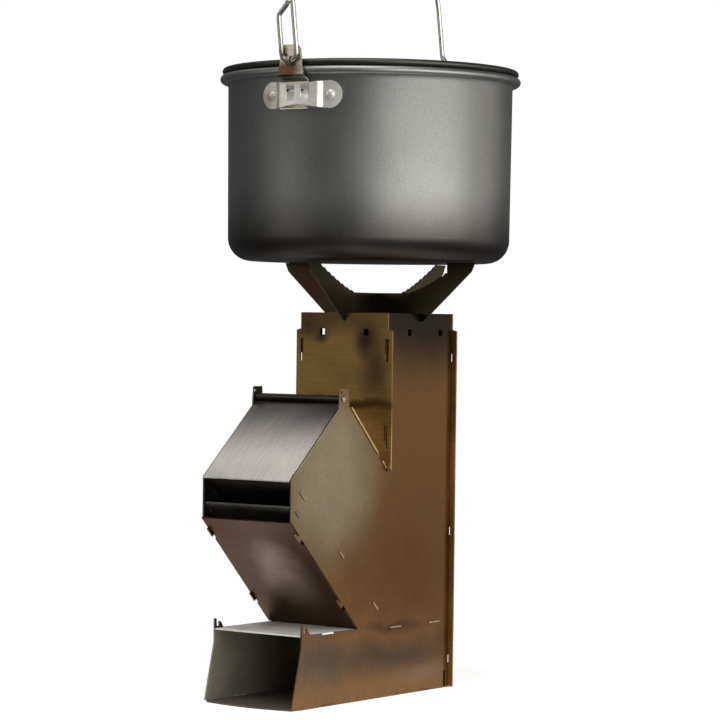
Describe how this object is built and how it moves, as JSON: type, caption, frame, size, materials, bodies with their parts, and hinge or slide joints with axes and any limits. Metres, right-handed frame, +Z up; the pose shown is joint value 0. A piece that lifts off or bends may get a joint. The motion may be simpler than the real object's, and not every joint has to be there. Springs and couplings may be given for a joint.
{
  "type": "rocket_stove",
  "caption": "A flat-pack steel rocket stove with a sloping feed hopper and hinged lid, a crossed pot support, and a lidded cooking pot with a wire bail",
  "frame": {"origin": "on the ground under the middle of the chimney", "axes": "+X to the stove's right-hand side, +Y to its back (the hopper faces -Y), +Z up"},
  "size_m": [0.2238, 0.2704, 0.6075],
  "materials": {
    "tinted_side_steel": "heat-tinted brushed stainless sheet",
    "tinted_wall_steel": "heat-tinted brushed stainless sheet",
    "brushed_steel": "brushed stainless sheet",
    "sooted_steel": "sooted stainless sheet",
    "anodised_aluminium": "matt hard-anodised",
    "pot_steel": "bright stainless strip and wire"
  },
  "bodies": {
    "stove": {"side_plate_left": "tinted_side_steel", "side_plate_right": "tinted_side_steel", "chimney_front_plate": "tinted_wall_steel", "chimney_back_plate": "tinted_wall_steel", "hopper_rear_plate": "tinted_wall_steel", "hinge_pin": "brushed_steel", "fuel_ramp": "sooted_steel", "air_inlet_slat": "brushed_steel", "lower_chute_plate": "tinted_side_steel", "tray_top_plate": "brushed_steel", "burn_grate": "sooted_steel", "tray_floor": "sooted_steel"},
    "hopper_lid": {"hopper_lid": "brushed_steel"},
    "pot_support": {"support_plate_across": "tinted_wall_steel", "support_plate_along": "tinted_wall_steel"},
    "pot": {"pot_body": "anodised_aluminium", "ear_front": "pot_steel", "ear_back": "pot_steel", "ear_front_rivet_left": "pot_steel", "ear_front_rivet_right": "pot_steel", "ear_back_rivet_left": "pot_steel", "ear_back_rivet_right": "pot_steel", "strap_front": "pot_steel", "strap_back": "pot_steel"},
    "pot_cover": {"pot_lid": "anodised_aluminium", "lid_saddle": "pot_steel", "lid_rivet_1": "pot_steel", "lid_rivet_2": "pot_steel"},
    "lid_ring": {"lid_ring": "pot_steel"},
    "bail": {"bail": "pot_steel"}
  },
  "joints": [
    {"name": "hopper_lid_hinge", "type": "hinge", "parent": "stove", "child": "hopper_lid", "pos_m": [0, -0.09476, 0.218], "axis": [-1, 0, 0], "range_deg": [0, 140]},
    {"name": "support_lift", "type": "slide", "parent": "stove", "child": "pot_support", "axis": [0, 0, 1], "range_m": [0, 0.06]},
    {"name": "pot_lift", "type": "slide", "parent": "pot_support", "child": "pot", "axis": [0, 0, 1], "range_m": [0, 0.1]},
    {"name": "pot_lid_lift", "type": "slide", "parent": "pot", "child": "pot_cover", "axis": [0, 0, 1], "range_m": [0, 0.05]},
    {"name": "bail_swing", "type": "hinge", "parent": "pot", "child": "bail", "pos_m": [-0.006, -0.0044, 0.4648], "axis": [0.1115, -0.9938, 0], "range_deg": [-85, 75]},
    {"name": "lid_ring_fold", "type": "hinge", "parent": "pot_cover", "child": "lid_ring", "pos_m": [-0.006, -0.0044, 0.46535], "axis": [-1, 0, 0], "range_deg": [0, 178]}
  ]
}
